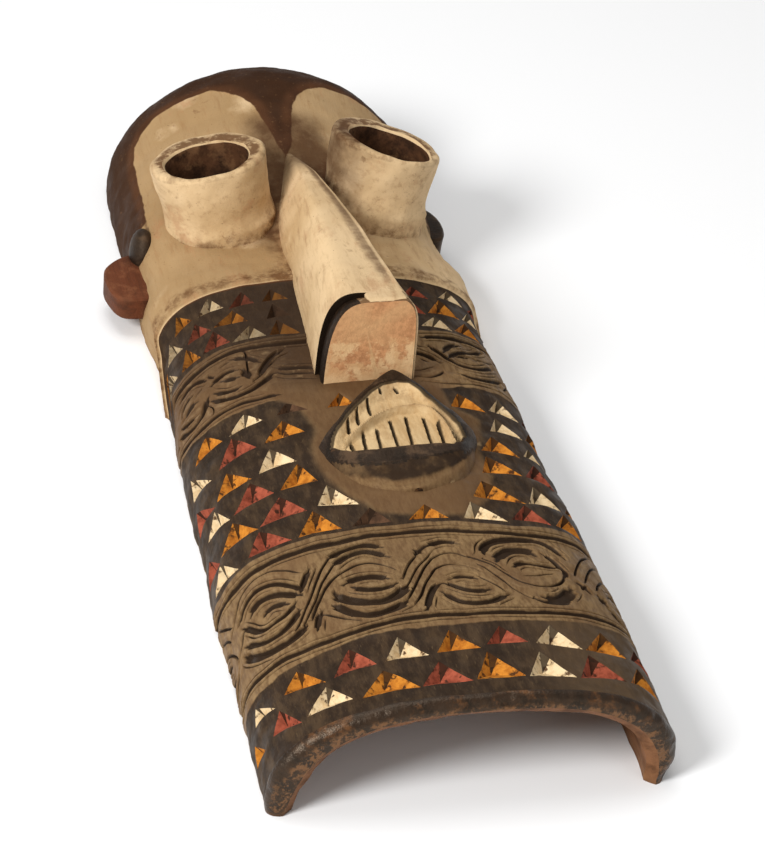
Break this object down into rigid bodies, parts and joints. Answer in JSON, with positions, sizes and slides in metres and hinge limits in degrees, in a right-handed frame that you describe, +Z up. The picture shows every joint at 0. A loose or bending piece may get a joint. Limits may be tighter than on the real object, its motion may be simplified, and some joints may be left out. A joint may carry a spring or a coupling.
{
  "type": "carved wooden face mask",
  "caption": "Long half-round carved wooden face mask with tubular eyes, a bared-teeth mouth and chip-carved bands, hollow behind; it lies open side down.",
  "frame": {"origin": "middle of the mask's outline on the surface it lies on, at its back rim", "axes": "+Y from the chin to the top of the head, +Z up out of the face, +X across the face"},
  "size_m": [0.2454, 0.7538, 0.1215],
  "materials": {
    "carved_wood": "hand-carved hardwood with a dark matt surface, kaolin white, red and ochre paint, worn"
  },
  "bodies": {
    "root": {"mask": "carved_wood"}
  },
  "joints": []
}
